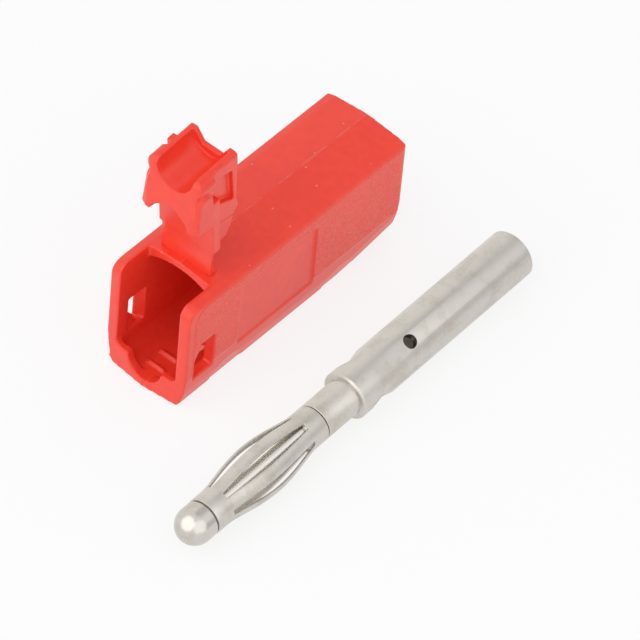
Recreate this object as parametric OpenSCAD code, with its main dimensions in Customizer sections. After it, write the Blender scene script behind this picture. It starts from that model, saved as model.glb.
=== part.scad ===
// Banana plug kit, shown apart: a moulded housing whose cable clamp folds on a
// film hinge, and the loose lantern contact lying beside it.
// Millimetres. X across the housing, Y from the cable end to the plug end, Z up.
// The origin is on the floor under the middle of the housing.

/* [Housing] */
// length over the middle of both ends
house_l = 26.75; // [22:0.05:34]
// width over the side walls
house_w = 8.36; // [7.4:0.02:11]
// height of the long top edges
wall_h = 11.0; // [10:0.1:13]
// rise of the top face from wall to ridge
ridge_rise = 0.6; // [0.2:0.05:1]
// width of the flat underside
base_w = 6.8; // [5.6:0.1:8]
// height of the slope between underside and side wall
flank_h = 3.3; // [1.5:0.1:4]
// side wall thickness
wall_t = 1.06; // [0.8:0.02:1.6]
// floor thickness
floor_t = 0.75; // [0.6:0.05:1.2]
// how far the middle of the cable end stands proud of its sides
end_vee = 0.4; // [0:0.05:0.8]
// length of the underside's upward taper at the plug end
nose_l = 6.95; // [2:0.05:10]
// height of that taper
nose_rise = 1.05; // [0.2:0.05:2]
// where the roof starts, measured from the cable end
rim_y = 3.75; // [3.65:0.05:5]
// depth of the cable chamber, from the cable end
chamber_l = 12.5; // [8:0.1:16]
// height of the chamber's arched ceiling
ceiling_h = 10.86; // [9.5:0.02:12]
// radius of that arch
arch_r = 6.4; // [5:0.1:12]
// radius of the chamber's lower corners
chamber_r = 1.2; // [0.4:0.1:2]
// rounding of the side walls at the cable end
corner_r = 0.5; // [0.2:0.05:1]

/* [Cable entry] */
// radius of the half-round cable notch
notch_r = 1.72; // [1:0.02:2.4]
// height of the sill beside the notch
sill_h = 2.4; // [1.8:0.05:3]
// sill thickness along the cable
sill_t = 0.95; // [0.6:0.05:1.4]
// height of the grip ribs on the floor
rib_h = 0.35; // [0.1:0.05:0.6]
// length of the side windows
window_l = 2.35; // [1.5:0.05:3]
// height of the side windows
window_h = 3.7; // [2:0.05:5]
// underside of the side windows
window_z = 2.85; // [2.5:0.05:4]

/* [Side face] */
// length of the bare sunk panel
panel_l = 9.2; // [4:0.1:12]
// height of the bare sunk panel
panel_h = 6.55; // [3:0.05:7]
// depth of the sunk panel
panel_d = 0.16; // [0.05:0.01:0.4]
// how far the grained field stands proud
grain_t = 0.07; // [0.02:0.01:0.2]
// corner radius of the grained field
grain_r = 1.3; // [0.4:0.1:2]
// radius of the round flats on the lower slope
flat_disc_r = 2.0; // [1:0.1:2.6]

/* [Contact seat] */
// clearance round the contact barrel
seat_gap = 0.12; // [0.05:0.01:0.3]
// thickness of the wall that stops the collar
front_wall = 0.8; // [0.5:0.05:1.5]
// how far the stop reaches in over the collar
stop_lap = 0.1; // [0.05:0.01:0.3]

/* [Clamp flap] */
// forward lean of the standing flap, degrees
lean = 5.5; // [0:0.5:15]
// how far the bending web stands behind the roof's rim
web_back = 0.7; // [0.5:0.05:1.2]
// height of the bending web above the roof
web_h = 2.7; // [2:0.05:3.4]
// web width
web_w = 5.2; // [3:0.1:5.6]
// thickness of the flap plate
plate_t = 0.9; // [0.6:0.05:1.3]
// width of the flap plate
plate_w = 5.74; // [4:0.02:5.8]
// web thickness at its waist
web_waist = 0.36; // [0.2:0.02:0.8]
// length of the clamp saddle along the cable
saddle_l = 4.95; // [3:0.05:5.2]
// width of the clamp saddle over its rims
saddle_w = 4.9; // [4:0.1:5.4]
// radius of the saddle trough
trough_r = 1.85; // [1.2:0.05:2.1]
// width over the cheeks
cheek_w = 5.7; // [5:0.02:6]
// radius of the cheeks' front corners, seen from above
front_r = 0.9; // [0.3:0.05:1.2]
// radius from the rims over to the cheeks
shoulder_r = 0.7; // [0.3:0.05:1]
// backward lean of the head's front, degrees
front_lean = 9; // [0:0.5:15]
// radius of the round-topped barb pads
pad_r = 0.87; // [0.5:0.01:1.1]
// depth of the groove over each pad
pad_groove = 0.3; // [0.1:0.05:0.4]
// depth of the pockets behind the pads
pocket_d = 0.45; // [0.1:0.05:0.5]
// reach of the barbs over both sides
barb_w = 5.92; // [5.2:0.02:6.04]
// free gap between the closed saddle and the sill
close_gap = 0.15; // [0.1:0.02:0.4]

/* [Contact] */
// barrel and collar diameter
barrel_d = 4.36; // [3.8:0.02:5]
// length of collar and barrel
barrel_l = 21.54; // [16:0.1:28]
// bore for the stripped wire
wire_d = 2.9; // [2:0.05:3.4]
// depth of the wire bore
wire_l = 15.85; // [8:0.05:18]
// sight hole diameter
sight_d = 1.25; // [0.8:0.05:1.6]
// distance of the sight hole from the bottom of the wire bore
sight_up = 1.15; // [0.8:0.05:3]
// neck diameter between collar and spring
neck_d = 3.32; // [2.8:0.02:3.6]
// neck length
neck_l = 3.76; // [1:0.02:6]
// width across the collar flats
flats_w = 3.74; // [3:0.02:4.3]
// length of the collar flats
flats_l = 2.84; // [1:0.02:4]
// nose diameter
nose_d = 3.28; // [2.8:0.02:3.6]
// core diameter inside the spring
core_d = 1.5; // [0.8:0.05:2]

/* [Lantern spring] */
// spring length over both rings
spring_l = 13.47; // [8:0.01:18]
// relaxed diameter at the belly
belly_d = 4.64; // [4.1:0.02:5]
// sheet thickness
sheet_t = 0.22; // [0.12:0.01:0.35]
// number of leaves
leaves = 6; // [4:1:8]
// leaf width
leaf_w = 1.2; // [0.6:0.05:1.6]
// length of the front ring
ring_front = 1.82; // [0.6:0.02:3]
// length of the rear ring
ring_rear = 1.7; // [0.6:0.05:3]
// turn of the leaves about the contact, degrees
leaf_roll = 21.5; // [0:0.5:60]
// groove beside each ring
ring_groove = 0.1; // [0.05:0.01:0.3]

/* [Lay-out] */
// distance of the contact's nose from the housing's middle
contact_x = 14.06; // [9:0.01:24]
// nose centre in front of the cable end
contact_y = 9.62; // [0:0.01:20]
// turn of the contact from the housing's length, degrees
contact_turn = 0.99; // [-10:0.01:10]
// roll of the contact about its own axis, degrees
contact_roll = 28.7; // [-90:0.1:90]

/* [Hidden] */
$fn = 96;
e = 0.01;
in_w = house_w - 2 * wall_t;
roof_z = wall_h + ridge_rise;
edge_in = 0.8;
edge_z = wall_h + 0.45 * ridge_rise;
vee_deg = atan(end_vee / (house_w / 2));
seat_r = barrel_d / 2 + seat_gap;
seat_z = (nose_rise + roof_z) / 2 - 0.15;
stop_r = barrel_d / 2 - stop_lap;
// folded over, the web is a half circle: the flap swings about the middle of its chord
web_y = rim_y + web_back + plate_t / 2;
web_z = roof_z - 0.1;
hinge_y = web_y - web_h / PI;
hinge_z = web_z + web_h / 2 + 0.1;
plate_y = web_y - plate_t / 2;
plate_z = web_z + web_h;
rim_top = 2 * hinge_z - sill_h - close_gap;
trough_z = rim_top - 0.08;
block_z = rim_top - trough_r - 1.5;
head_y = 2 * hinge_y - saddle_l - 0.15;
head_back = head_y + saddle_l;
mid_y = head_y + 1.98;
tip_z = rim_top - 6.2;
barb_z = rim_top - 5.3;
pad_y = mid_y - pad_r;
pad_z = rim_top - 2.4;
belly_r = belly_d / 2;
ring_r = neck_d / 2;
nose_r = nose_d / 2;
fit_r = ring_r - sheet_t - 0.01;
// stations along the contact, from the centre of the nose ball
s_ring = 1.08;
s_neck = s_ring + spring_l + ring_groove;
s_collar = s_neck + neck_l;
s_end = s_collar + barrel_l;
flats_cut = (barrel_d - flats_w) / 2;
flats_r = (flats_l ^ 2 / 4 + flats_cut ^ 2) / (2 * flats_cut);
leaf_a = s_ring + ring_front;
leaf_b = s_ring + spring_l - ring_rear;

// half-width and height of the outer section, right half from the floor up
function half_section(up) = [
    [base_w / 2, up],
    [base_w / 2 + 0.4 * (house_w - base_w) / 2, up + 0.14 * flank_h],
    [base_w / 2 + 0.78 * (house_w - base_w) / 2, up + 0.52 * flank_h],
    [house_w / 2, up + flank_h],
    [house_w / 2, wall_h - 0.06],
    [house_w / 2 - 0.06, wall_h],
    [house_w / 2 - edge_in, edge_z],
    [0, roof_z]];

// a section drawn as its right half, mirrored to the left
module both_halves(h) polygon(concat(h,
    [for (i = [len(h) - 1 : -1 : 0]) if (h[i][0] > 0) [-h[i][0], h[i][1]]]));

module section(up) both_halves(half_section(up));

// extrude a section drawn in x and z along +y
module along_y(y0, l) translate([0, y0 + l, 0]) rotate([90, 0, 0]) linear_extrude(l) children();

// extrude an outline drawn in y and z along +x
module along_x(x0, l) translate([x0, 0, 0]) rotate([90, 0, 90]) linear_extrude(l) children();

module bar_y(r, y0, l, z) translate([0, y0, z]) rotate([-90, 0, 0]) cylinder(r = r, h = l);

module outer_body() {
    mid = house_l - nose_l;
    along_y(0, mid) section(0);
    hull() {
        along_y(mid - e, e) section(0);
        along_y(house_l - e, e) section(nose_rise);
    }
}

// both halves of the cable end fall back from the parting plane
module end_vee_cut() for (s = [-1, 1]) scale([s, 1, 1]) rotate([0, 0, vee_deg])
    translate([0, -house_w, -1]) cube([2 * house_w, house_w, 2 * roof_z]);

module corner_round(r) translate([-house_w, end_vee, wall_h - r]) difference() {
    translate([0, -2, 0]) cube([2 * house_w, 2 + r, 3]);
    translate([-1, r, 0]) rotate([0, 90, 0]) cylinder(r = r, h = 2 * house_w + 2);
}

// floor and walls of the chamber, its lower corners rounded
module chamber_prism(l) along_y(-1, 1 + l) both_halves(concat(
    [for (a = [0 : 15 : 90])
        [in_w / 2 - chamber_r * (1 - sin(a)), floor_t + chamber_r * (1 - cos(a))]],
    [[in_w / 2, roof_z + 1]]));

module chamber() {
    chamber_prism(rim_y);
    intersection() {
        chamber_prism(chamber_l);
        bar_y(arch_r, -1, 2 + chamber_l, ceiling_h - arch_r);
    }
    bar_y(seat_r, chamber_l - e, house_l - front_wall - chamber_l, seat_z);
    bar_y(stop_r, chamber_l, house_l, seat_z);
    translate([0, chamber_l - e, seat_z]) rotate([-90, 0, 0])
        cylinder(r1 = seat_r + 0.5, r2 = seat_r, h = 0.6);
}

// sill with the half-round notch that the closed saddle completes
module sill() difference() {
    along_y(0.02, sill_t) polygon([
        [-in_w / 2 - 0.2, 0.3], [in_w / 2 + 0.2, 0.3], [in_w / 2 + 0.2, sill_h + 0.5],
        [in_w / 2 - 0.42, sill_h], [-in_w / 2 + 0.42, sill_h], [-in_w / 2 - 0.2, sill_h + 0.5]]);
    bar_y(notch_r, -1, 4, sill_h + 0.04);
}

module grain_field() {
    y0 = end_vee + 0.85;
    along_x(house_w / 2 - 0.2, 0.2 + grain_t) difference() {
        translate([y0, flank_h + 0.1]) square([house_l - y0 - 0.25, wall_h - 0.16 - flank_h]);
        translate([y0, wall_h - 0.06 - grain_r]) difference() {
            translate([-1, 0]) square([1 + grain_r, grain_r + 1]);
            translate([grain_r, 0]) circle(grain_r);
        }
    }
}

module housing() color([0.87, 0.16, 0.13]) translate([0, -house_l / 2, 0]) difference() {
    union() {
        difference() {
            outer_body();
            chamber();
        }
        sill();
        for (y = [sill_t + 0.85, sill_t + 2.35])
            translate([-1.15, y, floor_t - 0.2]) cube([2.3, 0.25, 0.2 + rib_h]);
        grain_field();
    }
    end_vee_cut();
    corner_round(corner_r);
    // windows that the flap's barbs face when it is shut
    translate([-house_w, end_vee + 0.95, window_z]) cube([2 * house_w, window_l, window_h]);
    // bare sunk panel
    translate([house_w / 2 - panel_d, end_vee + 6.3, flank_h - 0.35]) cube([1, panel_l, panel_h]);
    // two round flats across the lower slope
    for (y = [0.21, 0.725] * house_l) translate([base_w / 2, end_vee + y, 0])
        rotate([0, 90 + atan((house_w - base_w) / 2 / (0.78 * flank_h)), 0])
            cylinder(r = flat_disc_r, h = 1.5);
}

module in_flap_frame() translate([0, hinge_y - house_l / 2, hinge_z]) rotate([lean, 0, 0])
    translate([0, -hinge_y, -hinge_z]) children();

// waisted web between the roof and the flap plate
module film_hinge() color([0.83, 0.13, 0.11]) translate([0, -house_l / 2, 0]) {
    r = ((web_h / 2) ^ 2 + ((plate_t - web_waist) / 2) ^ 2) / (plate_t - web_waist);
    difference() {
        translate([-web_w / 2, plate_y, wall_h]) cube([web_w, plate_t, web_z + web_h - wall_h + 0.4]);
        // foot follows the roof
        outer_body();
        for (s = [-1, 1]) translate([-web_w, web_y + s * (web_waist / 2 + r), web_z + web_h / 2])
            rotate([0, 90, 0]) cylinder(r = r, h = 2 * web_w);
        // top trimmed square to the leaning plate
        translate([0, house_l / 2, 0]) in_flap_frame()
            translate([-web_w, plate_y - 3, plate_z]) cube([2 * web_w, 6, 4]);
    }
}

// right half of the head's section of width w: flat rim, then rounded over by r
function rounded_top(w, r) = concat([[0, rim_top]],
    [for (a = [0 : 15 : 90]) [w / 2 - r + r * sin(a), rim_top - r + r * cos(a)]]);

// the head seen from above: a flat front whose corners run back into the cheeks
module head_plan() {
    translate([-barb_w / 2, front_r]) square([barb_w, saddle_l]);
    translate([front_r - barb_w / 2, 0]) square([barb_w - 2 * front_r, 2 * front_r]);
    for (s = [-1, 1]) translate([s * (barb_w / 2 - front_r), front_r]) circle(front_r);
}

// front half of the head: saddle front, cheeks and barbs, with the vee between the barbs
module head_front() difference() {
    intersection() {
        translate([0, head_y - 0.6, barb_z]) rotate([-front_lean, 0, 0]) translate([0, 0, -saddle_l])
            linear_extrude(3 * saddle_l) head_plan();
        along_y(head_y - 2, mid_y - head_y + 2) both_halves(concat(rounded_top(cheek_w, shoulder_r),
            [[cheek_w / 2 - 0.05, pad_z], [barb_w / 2, barb_z + 1], [barb_w / 2, tip_z], [0, tip_z]]));
        along_x(-house_w / 2, house_w) polygon([
            [head_y - 2, rim_top + 1], [mid_y + 1, rim_top + 1], [mid_y + 1, barb_z - 0.8],
            [head_y - 0.45, barb_z - 0.05], [head_y - 2, barb_z + 0.5]]);
    }
    along_y(head_y - 2, saddle_l) both_halves([
        [0, barb_z + 1.7], [0.6, barb_z + 1.45], [1.65, barb_z + 0.7], [2, barb_z + 0.1],
        [2.2, tip_z - 1], [0, tip_z - 1]]);
}

// back half of the head, open between its cheeks
module head_back_half() difference() {
    intersection() {
        along_x(-saddle_w / 2, saddle_w) polygon([
            [mid_y - 0.05, rim_top + 1], [head_back, rim_top + 1], [head_back + 0.05, rim_top - 1.2],
            [head_back - 0.15, tip_z + 0.8], [head_back + 0.1, tip_z - 0.2],
            [head_back - 0.45, tip_z - 0.9], [mid_y - 0.05, tip_z - 0.3]]);
        along_y(mid_y - 1, saddle_l) both_halves(concat(rounded_top(saddle_w, shoulder_r / 2),
            [[saddle_w / 2, tip_z - 2], [0, tip_z - 2]]));
    }
    gap = saddle_w / 2 - 0.5;
    along_y(mid_y - 1, saddle_l) both_halves([
        [0, tip_z + 2.5], [gap, tip_z + 0.15], [gap, tip_z - 3], [0, tip_z - 3]]);
}

module strain_relief_flap() color([0.89, 0.18, 0.14]) in_flap_frame() {
    difference() {
        union() {
            head_front();
            head_back_half();
            // small tabs on the rims
            translate([-cheek_w / 2 + 0.1, mid_y + 0.45, rim_top - 0.8])
                cube([cheek_w - 0.2, 0.8, 0.75]);
        }
        // trough for the cable, and the notch in the wall at its far end
        bar_y(trough_r, head_y - 2, saddle_l + 1.55, trough_z);
        along_y(head_back - 1, 2) polygon([
            [-0.93 * trough_r, rim_top + 0.1], [-trough_r / 2, rim_top - 1.2],
            [trough_r / 2, rim_top - 1.2], [0.93 * trough_r, rim_top + 0.1]]);
        for (s = [-1, 1]) scale([s, 1, 1]) {
            // pocket behind each barb pad
            along_x(saddle_w / 2 - pocket_d, 2) polygon([
                [mid_y + 0.13, rim_top - 1.25], [head_back - 0.65, rim_top - 1.65],
                [head_back - 0.5, tip_z + 0.95], [mid_y + 0.03, tip_z + 2.25]]);
            // groove over the pad's round top
            along_x(cheek_w / 2 - pad_groove, 2) intersection() {
                translate([pad_y, pad_z]) difference() {
                    circle(pad_r + 0.35);
                    circle(pad_r);
                }
                translate([pad_y - 1.02 * pad_r, pad_z]) square(3 * pad_r);
            }
        }
    }
    translate([-plate_w / 2, plate_y, plate_z]) cube([plate_w, plate_t, block_z + 0.3 - plate_z]);
    // fins behind the plate
    for (s = [0, 1]) mirror([s, 0, 0]) along_x(saddle_w / 2 - 0.5, 0.42) polygon([
        [plate_y + plate_t - 0.1, plate_z + 0.05], [plate_y + plate_t + 1.25, plate_z + 0.05],
        [head_back - 0.6, plate_z + 1.2], [head_back - 0.45, tip_z - 0.8], [head_back - 0.5, tip_z + 0.5],
        [plate_y + plate_t - 0.1, tip_z + 1]]);
}

// the contact's own axis runs along +z here, from the nose ball's centre
module in_contact_frame() translate([contact_x, -contact_y - house_l / 2, belly_r])
    rotate([0, 0, contact_turn]) rotate([-90, 0, 0]) rotate([0, 0, contact_roll]) children();

module tube_step(r, s0, s1, c) rotate_extrude() polygon([
    [0, s0], [r - c, s0], [r, s0 + c], [r, s1 - c], [r - c, s1], [0, s1]]);

module contact_body() color([0.77, 0.75, 0.7]) in_contact_frame() difference() {
    union() {
        translate([0, 0, s_neck - ring_rear - 0.5]) cylinder(r = fit_r, h = ring_rear + 1);
        tube_step(neck_d / 2, s_neck, s_collar + 0.5, 0.12);
        tube_step(barrel_d / 2, s_collar, s_end, 0.16);
    }
    // two flats rolled into the collar's back
    for (s = [-1, 1]) translate([s * (flats_w / 2 + flats_r), 0, s_collar + 2.6])
        rotate([90, 0, 0]) cylinder(r = flats_r, h = 2 * barrel_d, center = true);
    translate([0, 0, s_end - wire_l]) cylinder(r = wire_d / 2, h = wire_l + 1);
    translate([0, 0, s_end - wire_l - 0.8]) cylinder(r1 = 0.05, r2 = wire_d / 2, h = 0.8 + e);
    translate([0, 0, s_end - 0.3]) cylinder(r1 = wire_d / 2 - e, r2 = wire_d / 2 + 0.3, h = 0.3 + e);
    translate([0, 0, s_end - wire_l + sight_up]) rotate([90, 0, 0]) cylinder(d = sight_d, h = barrel_d);
    translate([0, 0, s_neck - 5]) cylinder(d = core_d, h = 7.5);
}

// outer radius of the leaf at a share t of its length
function leaf_r(t) = ring_r + (belly_r - ring_r) * sin(180 * t) ^ 1.25;

// rolled sleeve: front ring, bulged middle and rear ring in one sheet thickness
module sleeve() {
    n = 15;
    a = leaf_a - 0.2;
    b = leaf_b + 0.2;
    outer = concat([[ring_r, s_ring]],
        [for (i = [0 : n]) [leaf_r(i / n), a + (b - a) * i / n]],
        [[ring_r, s_ring + spring_l]]);
    m = len(outer) - 1;
    rotate_extrude() polygon(concat(outer, [for (i = [m : -1 : 0]) outer[i] - [sheet_t, 0]]));
}

// slots that leave flat-edged leaves of equal width
module slots() for (i = [0 : leaves - 1]) rotate([0, 0, leaf_roll + 360 / leaves * i])
    translate([leaf_w / 2 / sin(180 / leaves), 0, leaf_a]) linear_extrude(leaf_b - leaf_a)
        polygon([[0, 0], 2 * belly_d * [cos(180 / leaves), -sin(180 / leaves)],
            2 * belly_d * [cos(180 / leaves), sin(180 / leaves)]]);

module lantern_spring() color([0.8, 0.78, 0.72]) in_contact_frame() difference() {
    sleeve();
    slots();
}

// ball nose, the shoulder inside the front ring and the core through the spring
module nose_pin() color([0.79, 0.77, 0.72]) in_contact_frame() {
    rotate_extrude() polygon(concat(
        [for (i = [0 : 16]) [nose_r * sin(90 * i / 16), -nose_r * cos(90 * i / 16)]],
        [[nose_r, s_ring - ring_groove - 0.06], [nose_r - 0.06, s_ring - ring_groove],
        [fit_r, s_ring - ring_groove], [fit_r, leaf_a - 0.3], [core_d / 2, leaf_a],
        [core_d / 2, s_neck + 2.4], [0, s_neck + 2.4]]));
}

housing();
film_hinge();
strain_relief_flap();
contact_body();
lantern_spring();
nose_pin();
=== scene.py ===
"""Banana plug: moulded housing with a hinged cable clamp, lying beside its spring contact."""
import math
from types import SimpleNamespace

import bpy
from bpy.props import FloatProperty, FloatVectorProperty, IntProperty, PointerProperty
from mathutils import Matrix, Vector


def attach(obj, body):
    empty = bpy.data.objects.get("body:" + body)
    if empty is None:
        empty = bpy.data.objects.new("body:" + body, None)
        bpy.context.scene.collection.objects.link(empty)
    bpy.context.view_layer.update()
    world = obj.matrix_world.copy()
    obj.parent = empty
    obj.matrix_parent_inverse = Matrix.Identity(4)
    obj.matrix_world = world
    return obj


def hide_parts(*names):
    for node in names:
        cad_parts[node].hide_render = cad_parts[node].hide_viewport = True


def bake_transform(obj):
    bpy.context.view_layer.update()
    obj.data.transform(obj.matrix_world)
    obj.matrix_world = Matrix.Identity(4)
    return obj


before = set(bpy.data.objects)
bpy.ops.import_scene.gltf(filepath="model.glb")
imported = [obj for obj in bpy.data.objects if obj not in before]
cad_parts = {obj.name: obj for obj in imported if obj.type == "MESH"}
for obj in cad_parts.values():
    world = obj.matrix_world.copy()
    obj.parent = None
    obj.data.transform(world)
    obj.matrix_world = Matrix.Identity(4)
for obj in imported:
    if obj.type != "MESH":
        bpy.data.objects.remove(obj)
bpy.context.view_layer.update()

bl_info = {
    "name": "Banana Plug",
    "version": (1, 0, 0),
    "blender": (4, 5, 0),
    "location": "View3D > Sidebar > Plug",
    "description": "Models a two-part banana plug with a fold-over cable clamp",
    "category": "Add Mesh",
}

MM = 0.001
TURN = 2 * math.pi


# Modelling by hand, in millimetres

def pick(piece):
    """Leave edit mode and select this piece alone."""
    if bpy.context.mode != "OBJECT":
        bpy.ops.object.mode_set(mode="OBJECT")
    bpy.ops.object.select_all(action="DESELECT")
    if piece:
        piece.select_set(True)
        bpy.context.view_layer.objects.active = piece


def edit(piece):
    """Enter edit mode on this piece with all of it selected."""
    pick(piece)
    bpy.ops.object.mode_set(mode="EDIT")
    bpy.ops.mesh.select_mode(type="VERT")
    bpy.ops.mesh.select_all(action="SELECT")


def settle(piece, gap=1e-4):
    """Merge doubles and turn the faces outwards."""
    edit(piece)
    bpy.ops.mesh.remove_doubles(threshold=gap)
    bpy.ops.mesh.normals_make_consistent(inside=False)
    pick(piece)


def block(low, high):
    """Box between two corners."""
    pick(None)
    middle = [(a + b) / 2 for a, b in zip(low, high)]
    bpy.ops.mesh.primitive_cube_add(size=1, location=middle)
    piece = bpy.context.object
    piece.scale = [b - a for a, b in zip(low, high)]
    bpy.ops.object.transform_apply()
    return piece


def bar(radius, start, end, tip=None, sides=64):
    """Round bar or cone from one point to another."""
    pick(None)
    start, end = Vector(start), Vector(end)
    along = end - start
    bpy.ops.mesh.primitive_cone_add(
        vertices=sides, radius1=radius, radius2=radius if tip is None else tip,
        depth=along.length, location=(start + end) / 2,
        rotation=along.to_track_quat("Z", "Y").to_euler())
    bpy.ops.object.transform_apply()
    return bpy.context.object


def prism(outline, axis, start, length):
    """Prism over an outline of (y, z) points along X, (x, z) along Y or (x, y) along Z."""
    pick(None)
    bpy.ops.mesh.primitive_circle_add(vertices=len(outline), fill_type="NGON")
    piece = bpy.context.object
    across = "XYZ".index(axis)
    for vertex, point in zip(piece.data.vertices, outline):
        vertex.co = (*point[:across], start, *point[across:])
    edit(piece)
    reach = [0, 0, 0]
    reach[across] = length
    bpy.ops.mesh.extrude_region_move(TRANSFORM_OT_translate={"value": reach})
    settle(piece)
    return piece


def move(piece, matrix):
    """Carry a piece to another place, and leave it there unturned and unscaled."""
    pick(piece)
    piece.matrix_world = matrix
    bpy.ops.object.transform_apply()


def turned(profile, steps=96):
    """Lathe a line of (radius, station) points round the z axis; its ends lie on the axis."""
    pick(None)
    bpy.ops.mesh.primitive_circle_add(vertices=len(profile), fill_type="NOTHING")
    piece = bpy.context.object
    for vertex, (radius, station) in zip(piece.data.vertices, profile):
        vertex.co = (radius, 0, station)
    last = len(profile) - 1
    for edge in piece.data.edges:
        edge.select = set(edge.vertices) == {0, last}
    for vertex in piece.data.vertices:
        vertex.select = vertex.index in (0, last)
    bpy.ops.object.mode_set(mode="EDIT")
    bpy.ops.mesh.select_mode(type="EDGE")
    bpy.ops.mesh.delete(type="EDGE")
    edit(piece)
    bpy.ops.mesh.spin(steps=steps, angle=TURN, center=(0, 0, 0), axis=(0, 0, 1))
    settle(piece)
    return piece


def apply(piece, kind, **settings):
    """Add a modifier, set it and apply it."""
    pick(piece)
    modifier = piece.modifiers.new(kind.title(), kind)
    for key, value in settings.items():
        setattr(modifier, key, value)
    bpy.ops.object.modifier_apply(modifier=modifier.name)


def combine(piece, operation, tools):
    """Boolean a row of tools with a piece; the tools are used up."""
    for tool in tools:
        apply(piece, "BOOLEAN", operation=operation, object=tool, solver="EXACT")
        bpy.data.meshes.remove(tool.data)
    if not piece.data.polygons:
        raise RuntimeError("A boolean left nothing of " + piece.name)


def cut(piece, *tools):
    combine(piece, "DIFFERENCE", tools)


def join(piece, *tools):
    combine(piece, "UNION", tools)


def split(piece, point, normal, **settings):
    """Divide a piece's faces along a plane."""
    edit(piece)
    bpy.ops.mesh.bisect(plane_co=point, plane_no=normal, **settings)
    pick(piece)


def bevel(piece, width, limit=50, **settings):
    """Round the edges that turn by more than a limit in degrees."""
    apply(piece, "BEVEL", width=width, segments=2, limit_method="ANGLE",
          angle_limit=math.radians(limit), **settings)


def soften(piece, width, limit):
    """Round the sharp edges, after the slivers that booleans leave are merged."""
    edit(piece)
    bpy.ops.mesh.remove_doubles(threshold=2e-3)
    bpy.ops.mesh.dissolve_degenerate(threshold=1e-3)
    pick(piece)
    bevel(piece, width, limit, miter_outer="MITER_ARC")


def mould(piece, cell, passes, share):
    """Round a piece over as moulded plastic is: remesh, smooth, keep a share of the faces."""
    apply(piece, "REMESH", mode="VOXEL", voxel_size=cell)
    apply(piece, "SMOOTH", factor=0.5, iterations=passes)
    apply(piece, "DECIMATE", ratio=share)


def mirrored(half):
    """Both halves of an (x, z) outline from its right half."""
    return half + [(-x, z) for x, z in reversed(half) if x > 0]


def arc(centre, radius, start, end, count):
    """Points on an arc, angles in degrees from the first axis."""
    turns = [math.radians(start + (end - start) * i / count) for i in range(count + 1)]
    return [(centre[0] + radius * math.cos(t), centre[1] + radius * math.sin(t)) for t in turns]


def in_mm(group):
    """A property group's lengths in millimetres, its other values as they are."""
    values = {}
    for key in group.__annotations__:
        value = getattr(group, key)
        is_length = getattr(group.bl_rna.properties[key], "unit", "NONE") == "LENGTH"
        values[key] = value / MM if is_length else value
    return SimpleNamespace(**values)


def place(piece, name, node, body, material, seat):
    """Put a piece modelled in millimetres into the shared frame, in place of the model part that it
    stands for, which is hidden.
    """
    piece.name = piece.data.name = name
    move(piece, Matrix.Scale(MM, 4) @ seat)
    bpy.ops.object.shade_smooth_by_angle(angle=math.radians(40))
    piece.data.materials.clear()
    piece.data.materials.append(material)
    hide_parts(node)
    if body:
        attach(piece, body)


# Shader maths

class Wire:
    """A shader socket that can be reckoned with: sums on it add Math nodes to its tree."""

    def __init__(self, tree, socket=None):
        self.tree = tree
        self.socket = socket

    def node(self, kind, settings=None, feeds=None, out=0):
        """Add a node, set it, feed its sockets with values or wires, and return one output."""
        made = self.tree.nodes.new(kind)
        for key, value in (settings or {}).items():
            setattr(made, key, value)
        for key, value in (feeds or {}).items():
            if isinstance(value, Wire):
                self.tree.links.new(value.socket, made.inputs[key])
            else:
                made.inputs[key].default_value = value
        return Wire(self.tree, made.outputs[out] if made.outputs else None)

    def sum(self, operation, *terms):
        """A Math node over wires and numbers."""
        return self.node("ShaderNodeMath", {"operation": operation}, dict(enumerate(terms)))

    def __add__(self, other):
        return self.sum("ADD", self, other)

    def __sub__(self, other):
        return self.sum("SUBTRACT", self, other)

    def __rsub__(self, other):
        return self.sum("SUBTRACT", other, self)

    def __mul__(self, other):
        return self.sum("MULTIPLY", self, other)

    def __abs__(self):
        return self.sum("ABSOLUTE", self)

    def step(self, low, high):
        """0 below low, 1 above high, a smooth step between; the other way round if high < low."""
        return self.node("ShaderNodeMapRange", {"interpolation_type": "SMOOTHSTEP"},
                         {"Value": self, "From Min": low, "From Max": high})

    def mix(self, first, second):
        """Blend two colours with this as the share of the second."""
        return self.node("ShaderNodeMix", {"data_type": "RGBA"},
                         {"Factor": self, 6: first, 7: second}, out=2)

    def noise(self, scale, detail=2.0, roughness=0.5, dimensions="3D"):
        """Noise read at this place, or at this number where it has one dimension."""
        at = "W" if dimensions == "1D" else "Vector"
        return self.node("ShaderNodeTexNoise", {"noise_dimensions": dimensions},
                         {at: self, "Scale": scale, "Detail": detail, "Roughness": roughness})

    def cells(self, scale):
        """Distance to the nearest of scattered points."""
        return self.node("ShaderNodeTexVoronoi", None, {"Vector": self, "Scale": scale})

    def times(self, factor):
        """A vector scaled by a number or, part by part, by a vector."""
        if isinstance(factor, (int, float)):
            return self.node("ShaderNodeVectorMath", {"operation": "SCALE"},
                             {0: self, "Scale": factor})
        return self.node("ShaderNodeVectorMath", {"operation": "MULTIPLY"}, {0: self, 1: factor})

    def dot(self, vector):
        """How far this place lies along a vector."""
        return self.node("ShaderNodeVectorMath", {"operation": "DOT_PRODUCT"},
                         {0: self, 1: vector}, out=1)

    def parts(self):
        """x, y and z of a vector."""
        split = self.node("ShaderNodeSeparateXYZ", None, {0: self}).socket.node
        return [Wire(self.tree, output) for output in split.outputs]


def blank_material(name):
    """A material without nodes, and a wire to start its tree from."""
    material = bpy.data.materials.new(name)
    material.use_nodes = True
    material.node_tree.nodes.clear()
    return material, Wire(material.node_tree)


def new_material(name):
    """An empty material and a wire that reads the place on the object in millimetres."""
    material, start = blank_material(name)
    return material, start.node("ShaderNodeTexCoord", out=3).times(1 / MM)


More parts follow.
